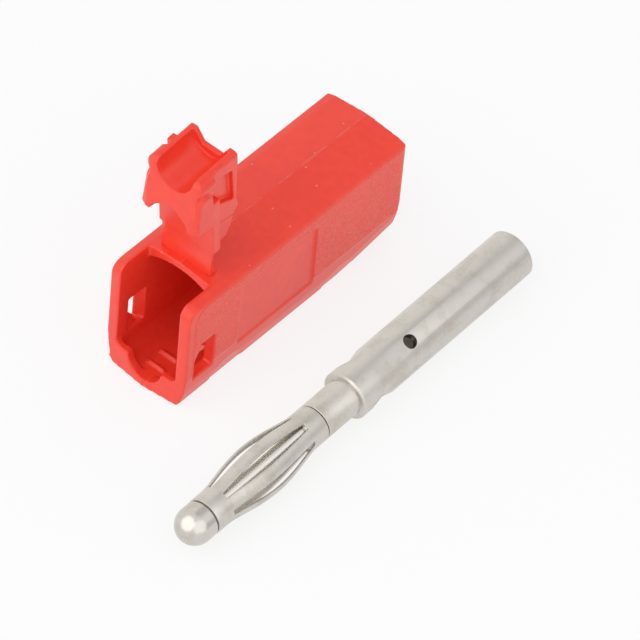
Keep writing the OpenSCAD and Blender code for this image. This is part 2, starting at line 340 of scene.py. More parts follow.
def surface(wire, feeds, height=None, depth=0.0):
    """Principled surface with a bump of this depth, in metres, wired to the output."""
    if height is not None:
        feeds["Normal"] = wire.node("ShaderNodeBump", None, {
            "Strength": 1.0, "Distance": depth, "Height": height})
    shader = wire.node("ShaderNodeBsdfPrincipled", None, feeds)
    wire.node("ShaderNodeOutputMaterial", None, {"Surface": shader})


def red_plastic(name, finish, side=None, ridge=None):
    """Moulded red plastic. Given the housing's sizes, its side fields are grained, with painted
    sheen on the grain's tops; given the height of its ridge, that has a parting line and specks."""
    material, at = new_material(name)
    x, y, z = at.parts()
    flow = at.noise(0.16, 3)
    mottle = at.noise(1.3, 2)
    tone = (flow * 0.6 + mottle * 0.4).step(0.3, 0.7)
    colour = tone.mix((*finish.red_deep, 1), (*finish.red_light, 1))
    skin = at.noise(7, 2, 0.6)
    height = skin * 0.16 + mottle * 0.1
    rough = skin * 0.1 + (finish.plastic_rough - 0.05)
    if side:
        half, end = side.width / 2, side.length / 2
        field = x.step(half + 0.02, half + 0.05) + (0 - x).step(half - 0.06, half - 0.02) \
            * z.step(side.flank + 0.1, side.flank + 0.2) \
            * z.step(side.wall - 0.3, side.wall - 0.4) * abs(y).step(end - 1.2, end - 1.3)
        grain = at.noise(5.5, 2, 0.6)
        pits = at.cells(7)
        rasp = grain * 0.75 + pits * 0.5
        height = height + field * rasp
        rough = rough + field * 0.14
        # painted sheen: the grain's tops get a paler red that stands in for the sheen of the rough
        # field
        sheen_tops = field * rasp.step(0.5, 0.85)
        colour = (sheen_tops * 0.6).mix(colour, (*finish.red_grain_sheen, 1))
    if ridge:
        line = abs(x).step(0.1, 0.03) * z.step(ridge - 0.12, ridge - 0.04) \
            * at.noise(0.9, 2).step(0.42, 0.58)
        colour = (line * 0.5).mix(colour, (*finish.red_edge, 1))
        height = height + line * 0.4
        speck = at.cells(0.75).step(0.08, 0.05) * z.step(ridge - 0.7, ridge - 0.5)
        colour = (speck * 0.6).mix(colour, (*finish.speck, 1))
        height = height + speck * 0.5
    surface(at, {"Base Color": colour, "Roughness": rough, "IOR": 1.49}, height, finish.grain_depth)
    return material


def nickel(name, finish, axis, lengthwise=False, gloss=0.0, bright_from=None):
    """Nickel plate: turned rings or rolled lines, and a soft cloudy tarnish; past bright_from along
    the axis a lighter colour takes its place, painted light on the core inside the spring."""
    material, at = new_material(name)
    along = at.dot(axis)
    cloud = at.noise(0.55, 3)
    if lengthwise:
        stretch = tuple(16 - 15.2 * abs(part) for part in axis)
        lines = at.times(stretch).noise(1, 3, 0.6)
    else:
        lines = along.noise(9, 3, 0.65, "1D")
    stain = (cloud * 0.7 + at.noise(3.2, 3) * 0.3).step(0.42, 0.68)
    colour = stain.mix((*finish.nickel_light, 1), (*finish.nickel_deep, 1))
    # painted light: the core inside the spring is made lighter, to look as lit as the leaves
    if bright_from is not None:
        core_light = along.step(bright_from, bright_from + 0.3)
        colour = core_light.mix(colour, (*finish.nickel_core_light, 1))
    scratch = at.noise(5, 4, 0.7).step(0.62, 0.8)
    rough = lines * 0.12 + cloud * 0.1 + scratch * 0.12 \
        + (finish.nickel_rough - gloss - 0.11)
    height = lines * 0.7 + at.noise(2.2, 2) * 0.5
    surface(at, {"Base Color": colour, "Roughness": rough, "Metallic": 1.0}, height,
            finish.turn_depth)
    return material


# Sizes and colours

def length(name, description, mm):
    """A length in metres, written in millimetres."""
    return FloatProperty(name=name, description=description, default=mm * MM, min=0,
                         precision=5, unit="LENGTH")


def angle(name, description, degrees):
    """An angle in radians, written in degrees."""
    return FloatProperty(name=name, description=description, default=math.radians(degrees),
                         subtype="ANGLE")


def level(name, description, value):
    """A value from 0 to 1."""
    return FloatProperty(name=name, description=description, default=value, min=0, max=1,
                         subtype="FACTOR")


def colour(name, description, red, green, blue):
    """A colour in linear light."""
    return FloatVectorProperty(name=name, description=description, default=(red, green, blue),
                               size=3, min=0, max=1, subtype="COLOR")


class HousingSizes(bpy.types.PropertyGroup):
    """Sizes of the moulded housing"""
    length: length("Length", "Cable end to plug end", 26.75)
    width: length("Width", "Across the side walls", 8.36)
    wall: length("Wall height", "Floor to the top of the side walls", 11.0)
    ridge: length("Ridge rise", "Roof ridge above the walls", 0.6)
    base: length("Base width", "Width of the flat underside", 6.8)
    flank: length("Flank height", "Height of the sloped flanks", 3.3)
    thick: length("Wall", "Thickness of the side walls", 1.06)
    floor: length("Floor", "Thickness of the floor", 0.75)
    vee: length("End fall", "How far the corners of the cable end fall back", 0.4)
    nose: length("Nose length", "Length of the raised underside at the plug end", 6.95)
    nose_rise: length("Nose rise", "Rise of the underside at the plug end", 1.05)
    rim: length("Open length", "Length of the chamber without a roof", 3.75)
    chamber: length("Chamber length", "Depth of the cable chamber", 12.5)
    ceiling: length("Ceiling", "Top of the chamber's arched ceiling", 10.86)
    arch: length("Arch radius", "Radius of the ceiling", 6.4)
    corner: length("Chamber corner", "Radius along the chamber's floor", 1.2)
    lip: length("Lip corner", "Radius at the top of the cable end", 1.0)
    notch: length("Notch radius", "Cable notch in the sill", 1.72)
    sill: length("Sill height", "Sill across the cable end", 2.4)
    sill_thick: length("Sill thickness", "Thickness of that sill", 0.95)
    rib: length("Rib height", "Grip ribs on the floor", 0.25)
    window: length("Window length", "Side windows along the plug", 2.35)
    window_high: length("Window height", "Height of the side windows", 3.7)
    window_up: length("Window sill", "Floor to the side windows", 2.85)
    panel: length("Panel length", "Sunk side panel", 9.2)
    panel_high: length("Panel height", "Height of the sunk panel", 6.55)
    panel_deep: length("Panel depth", "Depth of the sunk panel", 0.16)
    grain: length("Grain step", "Step of the grained side field", 0.07)
    grain_corner: length("Grain corner", "Corner radius of the grained field", 1.3)
    disc: length("Flat radius", "Round flats on the lower slope", 2.0)
    seat: length("Seat radius", "Bore that holds the contact", 2.3)
    seat_up: length("Seat height", "Floor to the middle of that bore", 6.175)
    stop: length("Stop radius", "Opening at the plug end", 2.08)
    front: length("Front wall", "Wall behind that opening", 0.8)
    voxel: length("Moulding grain", "Cell that the housing's corners are rounded over", 0.09)


class FlapSizes(bpy.types.PropertyGroup):
    """Sizes of the cable clamp and its film hinge"""
    hinge_y: length("Hinge place", "Cable end to the hinge line", 4.0406)
    hinge_z: length("Hinge height", "Floor to the hinge line", 12.95)
    lean: angle("Lean", "Lean of the open clamp", 5.5)
    top: length("Rim height", "Top of the clamp's trough", 23.35)
    barb_up: length("Barb height", "Floor to the tips of the barbs", 18.05)
    hook: length("Hook height", "Floor to the hooks behind the barbs", 17.15)
    front: length("Front", "Cable end to the front of the clamp", 2.98)
    long: length("Head length", "Length of the clamp's head", 4.95)
    wide: length("Head width", "Width behind the cheeks", 4.9)
    cheek: length("Cheek width", "Width across the cheeks", 5.7)
    barb: length("Barb width", "Width across the barbs", 5.92)
    corner: length("Front corner", "Width of the cheeks' rounded front corners", 0.8)
    corner_deep: length("Corner depth", "Depth of those corners", 0.45)
    shoulder: length("Shoulder", "Radius from the rims over to the cheeks", 0.7)
    front_lean: angle("Front lean", "Backward lean of the front", 9)
    core: length("Core width", "Width of the head between the pads", 5.0)
    pad: length("Pad radius", "Round top of the barb pads", 1.02)
    draft: length("Pad draft", "How far the sides of the pads slope in", 0.3)
    pocket: length("Pocket", "Depth of the pockets behind the pads", 0.45)
    trough: length("Trough radius", "Cable trough", 1.85)
    plate: length("Plate width", "Plate that carries the head", 5.74)
    plate_y: length("Plate place", "Cable end to the plate", 4.45)
    plate_z: length("Plate foot", "Floor to the foot of the plate", 14.2)
    thick: length("Plate thickness", "Thickness of the plate", 0.9)
    web: length("Web width", "Width of the film hinge", 5.2)
    waist: length("Web waist", "Thinnest part of the film hinge", 0.36)
    web_foot: length("Web foot", "Floor to the foot of the film hinge", 11.5)
    web_high: length("Web height", "Height of the film hinge", 2.7)
    voxel: length("Moulding grain", "Cell that the clamp's corners are rounded over", 0.06)


class ContactSizes(bpy.types.PropertyGroup):
    """Sizes of the spring contact"""
    barrel: length("Barrel diameter", "Crimp barrel", 4.36)
    barrel_long: length("Barrel length", "Collar to the wire end", 21.54)
    wire: length("Wire bore", "Diameter of the wire bore", 2.9)
    wire_long: length("Wire depth", "Depth of the wire bore", 15.85)
    sight: length("Sight hole", "Diameter of the sight hole", 1.25)
    sight_up: length("Sight place", "Sight hole from the bottom of the bore", 1.15)
    neck: length("Neck diameter", "Neck behind the spring", 3.32)
    neck_long: length("Neck length", "Spring to collar", 3.76)
    flats: length("Collar flats", "Width across the flats", 3.74)
    nose: length("Nose diameter", "Ball nose", 3.28)
    core: length("Core diameter", "Rod inside the spring", 2.3)
    spring: length("Spring length", "Lantern spring", 13.47)
    belly: length("Belly diameter", "Widest part of the spring", 4.64)
    sheet: length("Sheet", "Thickness of the spring sheet", 0.22)
    leaf: length("Leaf width", "Width of a leaf", 1.2)
    ring_front: length("Front ring", "Length of the front ring", 1.82)
    ring_rear: length("Rear ring", "Length of the rear ring", 1.7)
    ring_at: length("Spring start", "Nose centre to the spring", 1.08)
    groove: length("Ring groove", "Gap beside each ring", 0.1)
    leaves: IntProperty(name="Leaves", description="Leaves round the spring", default=6, min=3)
    roll: angle("Leaf roll", "Turn of the slots", 21.5)
    beside: length("Beside", "Middle of the housing to the contact", 14.06)
    ahead: length("Ahead", "Cable end to the centre of the nose", 9.62)
    turn: angle("Turn", "Turn on the floor", 0.99)
    spin: angle("Spin", "Turn about its own axis", 28.7)


class Finishes(bpy.types.PropertyGroup):
    """Colours and surface of the materials and the stage"""
    red_deep: colour("Red, deep", "Darker flow of the plastic", 0.83, 0.044, 0.026)
    red_light: colour("Red, light", "Lighter flow of the plastic", 0.90, 0.056, 0.027)
    # painted sheen: a pale red that stands in for the sheen on the tops of the side grain
    red_grain_sheen: colour("Red, grain", "Rubbed tops of the side grain", 0.80, 0.17, 0.13)
    red_edge: colour("Red, edge", "Parting line", 0.86, 0.14, 0.09)
    speck: colour("Specks", "Fine light specks along the ridge", 0.86, 0.30, 0.24)
    plastic_rough: level("Plastic roughness", "How dull the plastic is", 0.31)
    grain_depth: length("Grain depth", "Depth of the side grain", 0.035)
    nickel_light: colour("Nickel, light", "Bare plating", 0.63, 0.598, 0.552)
    nickel_deep: colour("Nickel, deep", "Tarnished plating", 0.545, 0.508, 0.452)
    # painted light: a lighter colour for the core inside the spring, in place of the light it lacks
    # there
    nickel_core_light: colour("Nickel, clean", "Sheltered plating inside the spring", 0.93, 0.90, 0.85)
    nickel_rough: level("Nickel roughness", "How dull the plating is", 0.36)
    turn_depth: length("Turning depth", "Depth of the turned lines", 0.003)
    floor: colour("Floor", "Studio floor", 0.90, 0.90, 0.90)


# Pieces

# Housing: what its sizes leave open, in millimetres unless it is a share
FLANK_CURVE = ((0.4, 0.14), (0.78, 0.52))  # shares of a flank's width and height
EAVE_IN, EAVE_RISE = 0.8, 0.45  # break of the roof: in from the wall, share of the ridge's rise
DISC_LEAN = 0.78  # lean of the round flats, as a share of the flank's height
DISC_AT = (5.6, 19.4)  # those flats along the housing
RIB_AT, RIB_LONG = (0.85, 2.35), 0.25  # grip ribs: behind the sill, along the housing
RIB_ACROSS = (-1.0, 0.8)  # their left and right ends
WINDOW_IN = 0.95  # corner of the cable end to the windows
PANEL_IN, PANEL_DOWN = 6.3, 0.35  # sunk panel: in from that corner, below the flank's top
TAB_TOP = ((-0.2, 0.2), (0.85, 0.2), (0.9, -0.3), (1.5, -0.85), (1.3, -1.25), (0.75, -1.05),
           (0.45, -1.6))  # torn tab, from the window's upper near corner
TAB_FOOT = ((0.2, 1.55), (-0.2, 1.5))  # the same, from the lower near corner
SKIN = ((-0.2, -0.2), (1.7, -0.2), (1.35, 0.85), (0.8, 1.5), (-0.2, 1.6))  # from that corner too
TAB_THICK, SKIN_THICK = 0.3, 0.25
FLASH_IN = 0.45  # outside of the walls to the tab's inner and the skin's outer face
FILL_LONG, SLOPE_LONG = 0.3, 0.42  # what narrows the left window at its near and far side


class PLUG_OT_housing(bpy.types.Operator):
    """Model the moulded housing with its open cable chamber"""
    bl_idname = "plug.housing"
    bl_label = "Housing"
    bl_options = {"REGISTER", "UNDO"}

    def outer(self, s):
        """Outer body: flanks, walls and ridged roof, the underside rising at the plug end."""
        slope = (s.width - s.base) / 2
        half = [(0, 0), (s.base / 2, 0)]
        half += [(s.base / 2 + wide * slope, high * s.flank) for wide, high in FLANK_CURVE]
        half += [(s.width / 2, s.flank), (s.width / 2, s.wall),
                 (s.width / 2 - EAVE_IN, s.wall + EAVE_RISE * s.ridge), (0, s.wall + s.ridge)]
        body = prism(mirrored(half), "Y", -0.2, s.length + 0.2)
        split(body, (0, s.length - s.nose, 0), (0, 1, 0))
        for vertex in body.data.vertices:
            vertex.select = vertex.co.y > s.length - 0.1 and vertex.co.z < s.flank + 0.1
        for part in (*body.data.edges, *body.data.polygons):
            part.select = all(body.data.vertices[i].select for i in part.vertices)
        bpy.ops.object.mode_set(mode="EDIT")
        bpy.ops.transform.translate(value=(0, 0, s.nose_rise))
        pick(body)
        return body

    def end_fall(self, s, side):
        """Turn of one half of the cable end, which falls back from the parting plane."""
        return side * math.atan(2 * s.vee / s.width)

    def end_wedge(self, s, side):
        """Cutter that lets one half of the cable end fall back."""
        left, right = sorted((-side * 1.0, side * s.width))
        wedge = block((left, -5, -1), (right, 0, s.wall + 5))
        wedge.rotation_euler.z = self.end_fall(s, side)
        bpy.ops.object.transform_apply()
        return wedge

    def lip(self, s, side):
        """Cutter that rounds the top of one wall at the cable end, square to its end and top."""
        rounded = arc((s.lip, s.wall - s.lip), s.lip, 180, 90, 8)
        cutter = prism(rounded + [(s.lip, s.wall + 2), (-2, s.wall + 2), (-2, s.wall - s.lip)],
                       "X", side * s.base / 4, side * s.width)
        edge = Matrix.Translation((side * s.width / 2, 0, s.wall))
        tilt = side * math.atan(EAVE_RISE * s.ridge / EAVE_IN)
        move(cutter, Matrix.Rotation(self.end_fall(s, side), 4, "Z")
             @ edge @ Matrix.Rotation(tilt, 4, "Y") @ edge.inverted())
        return cutter

    def chamber(self, s, start, end):
        """The chamber's section with rounded lower corners, drawn out between two depths."""
        inner = s.width / 2 - s.thick
        half = [(0, s.floor)] + arc((inner - s.corner, s.floor + s.corner), s.corner, -90, 0, 6)
        return prism(mirrored(half + [(inner, s.wall + 2)]), "Y", start, end - start)

    def windows(self, s, room=0):
        """Cutter for both side windows, with room to spare where asked."""
        near = s.vee + WINDOW_IN
        return block((-s.width, near - room, s.window_up - room),
                     (s.width, near + s.window + room, s.window_up + s.window_high + room))

    def grain_field(self, s):
        """Pad that stands a step proud of the right wall, one corner rounded."""
        near, far = s.vee + 0.85, s.length - 0.25
        low, high = s.flank + 0.1, s.wall - 0.3
        rounded = arc((near + s.grain_corner, high - s.grain_corner), s.grain_corner, 90, 180, 8)
        field = prism([(near, low), (far, low), (far, high)] + rounded, "X",
                      s.width / 2 - 0.2, 0.2 + s.grain)
        cut(field, self.windows(s, 0.03))
        return field

    def flash(self, s):
        """Torn tab in the right window, what narrows the left one, and a spur at the cable end."""
        near, far = s.vee + WINDOW_IN, s.vee + WINDOW_IN + s.window
        low, high = s.window_up, s.window_up + s.window_high
        half = s.width / 2
        outer, inner = 0.02 - half, s.thick - 0.02 - half
        torn = prism([(near + y, high + z) for y, z in TAB_TOP]
                     + [(near + y, low + z) for y, z in TAB_FOOT], "X", half - FLASH_IN, TAB_THICK)
        skin = prism([(near + y, low + z) for y, z in SKIN], "X", FLASH_IN - half, SKIN_THICK)
        fill = block((outer, near - 0.2, low - 0.1), (inner, near + FILL_LONG, high + 0.1))
        slope = prism([(outer, far + 0.2), (outer, far - SLOPE_LONG), (inner, far - 0.02),
                       (inner, far + 0.2)], "Z", low - 0.1, s.window_high + 0.2)
        foot = Vector((-s.base / 2 - 0.25, s.vee + 0.1, 0.45))
        spur = bar(0.16, foot, foot + Vector((-0.3, -0.12, 0.08)), tip=0.05, sides=8)
        return torn, skin, fill, slope, spur

    def sill(self, s):
        """Sill across the cable end, with its cable notch."""
        inner = s.width / 2 - s.thick
        sill = prism(mirrored([(inner + 0.2, 0.3), (inner + 0.2, s.sill + 0.5),
                               (inner - 0.42, s.sill)]), "Y", -0.3, s.sill_thick + 0.3)
        cut(sill, bar(s.notch, (0, -1, s.sill + 0.04), (0, 4, s.sill + 0.04)))
        return sill

    def execute(self, context):
        s = in_mm(context.scene.plug_housing)
        body = self.outer(s)
        deep = self.chamber(s, s.rim - 0.3, s.chamber)
        arch_up = s.ceiling - s.arch
        combine(deep, "INTERSECT", [bar(s.arch, (0, -2, arch_up), (0, s.chamber + 2, arch_up),
                                        sides=96)])
        seat = (0, s.chamber - 0.01, s.seat_up)
        cut(body, self.chamber(s, -1, s.rim), deep,
            bar(s.seat, seat, (0, s.length - s.front, s.seat_up)),
            bar(s.stop, seat, (0, s.length + 1, s.seat_up)),
            bar(s.seat + 0.5, seat, (0, s.chamber + 0.6, s.seat_up), tip=s.seat))
        join(body, self.sill(s))
        for side in (-1, 1):
            cut(body, self.end_wedge(s, side), self.lip(s, side))
        cut(body, self.windows(s))
        left, right = RIB_ACROSS
        ribs = [block((left, s.sill_thick + y, s.floor - 0.2),
                      (right, s.sill_thick + y + RIB_LONG, s.floor + s.rib)) for y in RIB_AT]
        join(body, *ribs, self.grain_field(s))
        near, low = s.vee + PANEL_IN, s.flank - PANEL_DOWN
        cut(body, block((s.width / 2 - s.panel_deep, near, low),
                        (s.width, near + s.panel, low + s.panel_high)))
        out = Vector((DISC_LEAN * s.flank, 0, -(s.width - s.base) / 2)).normalized()
        for y in DISC_AT:
            foot = Vector((s.base / 2, s.vee + y, 0))
            cut(body, bar(s.disc, foot, foot + 1.5 * out))
        join(body, *self.flash(s))
        mould(body, s.voxel, passes=9, share=0.33)
        place(body, "housing_shell", "housing", "housing",
              red_plastic("moulded_red_grained", context.scene.plug_finish, s, s.wall + s.ridge),
              Matrix.Translation((0, -s.length / 2, 0)))
        return {"FINISHED"}


# Clamp: what its sizes leave open, in millimetres
FRONT_LONG = 1.98  # front half of the head
SADDLE = ((0, 1.7), (0.6, 1.45), (1.65, 0.7), (2, 0.1))  # opening below the front, from the barbs


class PLUG_OT_clamp(bpy.types.Operator):
    """Model the fold-over cable clamp with its trough, cheeks and barbs"""
    bl_idname = "plug.clamp"
    bl_label = "Cable Clamp"
    bl_options = {"REGISTER", "UNDO"}

    def rounded_top(self, s, width, radius):
        """Right half of a section: flat rim, rounded over to the cheek."""
        return [(0, s.top)] + arc((width / 2 - radius, s.top - radius), radius, 90, 0, 6)

    def front_half(self, s, middle):
        """Saddle front, cheeks and barbs, met from above, from the front and from the side."""
        corner = [(s.barb / 2 - s.corner * (1 - x), s.corner_deep * (1 + y))
                  for x, y in arc((0, 0), 1, 270, 360, 8)]
        plan = [(-x, y) for x, y in reversed(corner)] + corner \
            + [(s.barb / 2, s.long), (-s.barb / 2, s.long)]
        head = prism(plan, "Z", -s.long, 3 * s.long)
        move(head, Matrix.Translation((0, s.front - 0.6, s.barb_up))
             @ Matrix.Rotation(-s.front_lean, 4, "X"))
        section = self.rounded_top(s, s.cheek, s.shoulder) + [
            (s.cheek / 2, s.top - s.shoulder - 0.2), (s.core / 2, s.top - s.shoulder - 0.6),
            (s.core / 2, s.hook), (0, s.hook)]
        brow = arc((s.front + 0.13 + s.shoulder, s.top - s.shoulder), s.shoulder, 180, 90, 6)
        combine(head, "INTERSECT", [
            prism(mirrored(section), "Y", s.front - 2, middle - s.front + 2),
            prism([(s.front - 2, s.top - s.shoulder)] + brow + [
                (brow[-1][0] + 0.1, s.top + 0.1), (middle + 1, s.top + 0.1),
                (middle + 1, s.barb_up - 0.8), (s.front - 0.45, s.barb_up - 0.05),
                (s.front - 2, s.barb_up + 0.5)],
                "X", -s.barb, 2 * s.barb)])
        saddle = [(x, s.barb_up + z) for x, z in SADDLE] + [(2.2, s.hook - 1), (0, s.hook - 1)]
        cut(head, prism(mirrored(saddle), "Y", s.front - 2.5, s.long))
        return head

    def back_half(self, s, middle, back):
        """Back of the head with its hooks, open between the cheeks."""
        head = prism([(middle - 0.05, s.top + 1), (back, s.top + 1), (back + 0.05, s.top - 1.2),
                      (back - 0.15, s.hook + 0.8), (back + 0.1, s.hook - 0.2),
                      (back - 0.45, s.hook - 0.9), (middle - 0.05, s.hook - 0.3)],
                     "X", -s.wide / 2, s.wide)
        section = self.rounded_top(s, s.wide, s.shoulder / 2) \
            + [(s.wide / 2, s.hook - 2), (0, s.hook - 2)]
        combine(head, "INTERSECT", [prism(mirrored(section), "Y", middle - 1, s.long)])
        gap = s.wide / 2 - 0.5
        cut(head, prism(mirrored([(0, s.hook + 2.5), (gap, s.hook + 0.15), (gap, s.hook - 3),
                                  (0, s.hook - 3)]), "Y", middle - 1.5, s.long + 1))
        return head

    def pad(self, s, middle, side):
        """Round-topped pad on one cheek, drafted on all sides, that ends below in the barb."""
        centre = (middle - 1.16, s.top - 2.5)
        base = [(s.front - 0.56, s.barb_up)] + arc(centre, s.pad, 180, 0, 14) \
            + [(middle - 0.06, s.hook + 0.2)]
        face = [(s.front - 0.36, s.barb_up + 0.1)] + arc(centre, s.pad - s.draft, 180, 0, 14) \
            + [(middle - 0.2, s.hook + 0.55)]
        pad = prism(base, "X", side * (s.core / 2 - 0.3), side * 0.5)
        root, top = side * (s.core / 2 - 0.05), s.cheek / 2
        for vertex in pad.data.vertices:
            if abs(vertex.co.x) < s.core / 2 - 0.1:
                vertex.co.x = root
                continue
            nearest = min(range(len(base)), key=lambda i: math.dist(base[i], vertex.co.yz))
            vertex.co.yz = face[nearest]
            lower = min(1, max(0, (centre[1] - vertex.co.z) / 1.8))
            vertex.co.x = side * (top + (s.barb / 2 - top) * lower)
        return pad

    def fin(self, s, back, side):
        """Fin that stiffens one side of the plate behind."""
        behind = s.plate_y + s.thick
        return prism([(behind - 0.1, s.plate_z + 0.05), (behind + 1.25, s.plate_z + 0.05),
                      (back - 0.6, s.plate_z + 1.2), (back - 0.45, s.hook - 0.8),
                      (back - 0.5, s.hook + 0.5), (behind - 0.1, s.hook + 1)],
                     "X", side * (s.wide / 2 - 0.5), side * 0.42)

    def pocket(self, s, middle, back, side):
        """Cutter for the pocket behind one pad."""
        return prism([(middle + 0.13, s.top - 1.0), (back - 0.65, s.top - 1.65),
                      (back - 0.5, s.hook + 0.95), (middle + 0.03, s.hook + 2.25)],
                     "X", side * (s.wide / 2 - s.pocket), side * 2)

    def execute(self, context):
        s = in_mm(context.scene.plug_flap)
        middle, back = s.front + FRONT_LONG, s.front + s.long
        trough = s.top - 0.08
        head = self.front_half(s, middle)
        join(head, self.back_half(s, middle, back),
             block((0.1 - s.cheek / 2, middle + 0.45, s.top - 0.8),
                   (s.wide / 2 - 0.02, middle + 1.25, s.top - 0.05)))
        notch = [(-0.93 * s.trough, s.top + 0.1), (-s.trough / 2, s.top - 1.2),
                 (s.trough / 2, s.top - 1.2), (0.93 * s.trough, s.top + 0.1)]
        cut(head, bar(s.trough, (0, s.front - 2, trough), (0, back - 0.45, trough)),
            prism(notch, "Y", back - 1, 2))
        for side in (-1, 1):
            cut(head, self.pocket(s, middle, back, side))
            join(head, self.pad(s, middle, side), self.fin(s, back, side))
        join(head, block((-s.plate / 2, s.plate_y, s.plate_z - 0.6),
                         (s.plate / 2, s.plate_y + s.thick, s.top - s.trough - 1.2)))
        mould(head, s.voxel, passes=6, share=0.6)
        split(head, (0, 0, s.plate_z), (0, 0, -1), use_fill=True, clear_outer=True)
        place(head, "clamp_flap", "strain_relief_flap", "flap",
              red_plastic("moulded_red_clamp", context.scene.plug_finish), lean_of(context))
        return {"FINISHED"}


def lean_of(context):
    """Place of the leaning clamp, from its upright drawing."""
    s = in_mm(context.scene.plug_flap)
    house = in_mm(context.scene.plug_housing)
    pivot = Matrix.Translation((0, s.hinge_y, s.hinge_z))
    return Matrix.Translation((0, -house.length / 2, 0)) @ pivot \
        @ Matrix.Rotation(s.lean, 4, "X") @ pivot.inverted()


WEB_ROWS, WEB_COLUMNS = 20, 7  # faces of the film hinge, so that it can bend


class PLUG_OT_film_hinge(bpy.types.Operator):
    """Model the waisted film hinge between the roof and the clamp"""
    bl_idname = "plug.film_hinge"
    bl_label = "Film Hinge"
    bl_options = {"REGISTER", "UNDO"}

    def execute(self, context):
        s = in_mm(context.scene.plug_flap)
        house = in_mm(context.scene.plug_housing)
        foot, head = s.web_foot - 0.12, s.plate_z + 0.25
        web = block((-s.web / 2, s.plate_y, foot), (s.web / 2, s.plate_y + s.thick, head))
        levels = [(0, 0, foot + (head - foot) * i / WEB_ROWS) for i in range(1, WEB_ROWS)]
        planes = [(s.web * (i / WEB_COLUMNS - 0.5), 0, 0) for i in range(1, WEB_COLUMNS)]
        for points, normal in ((levels, (0, 0, 1)), (planes, (1, 0, 0))):
            for point in points:
                split(web, point, normal)
        middle_y, middle_z = s.plate_y + s.thick / 2, s.web_foot + s.web_high / 2
        lean = Matrix.Translation((0, house.length / 2, 0)) @ lean_of(context)
        for vertex in web.data.vertices:
            share = min(1, abs(vertex.co.z - middle_z) / (s.web_high / 2))
            thin = s.waist + (s.thick - s.waist) * share ** 2
            vertex.co.y = s.plate_y + 0.012 + (vertex.co.y - s.plate_y) * (thin - 0.03) / s.thick
            up = max(0, (vertex.co.z - middle_z) / (head - middle_z))
            vertex.co = vertex.co.lerp(lean @ vertex.co, up)
        bevel(web, 0.07)
        seat = Matrix.Translation((0, -house.length / 2, 0))
        place(web, "hinge_web", "film_hinge", None,
              red_plastic("moulded_red_web", context.scene.plug_finish), seat)
        end = seat @ (lean @ Vector((0, middle_y, s.plate_z)))
        end * MM
        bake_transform(web)
        return {"FINISHED"}


# Contact: what its sizes leave open, in millimetres
CHAMFER, MOUTH, DRILL_TIP = 0.16, 0.3, 0.8  # barrel: outer edges, wire mouth, end of the bore
FLAT_RADIUS, FLAT_AT = 3.4, 2.6  # round cutter of the flats, and its place behind the collar
SPRING_ROWS, LEAF_COLUMNS = 36, 6  # faces along and across a leaf


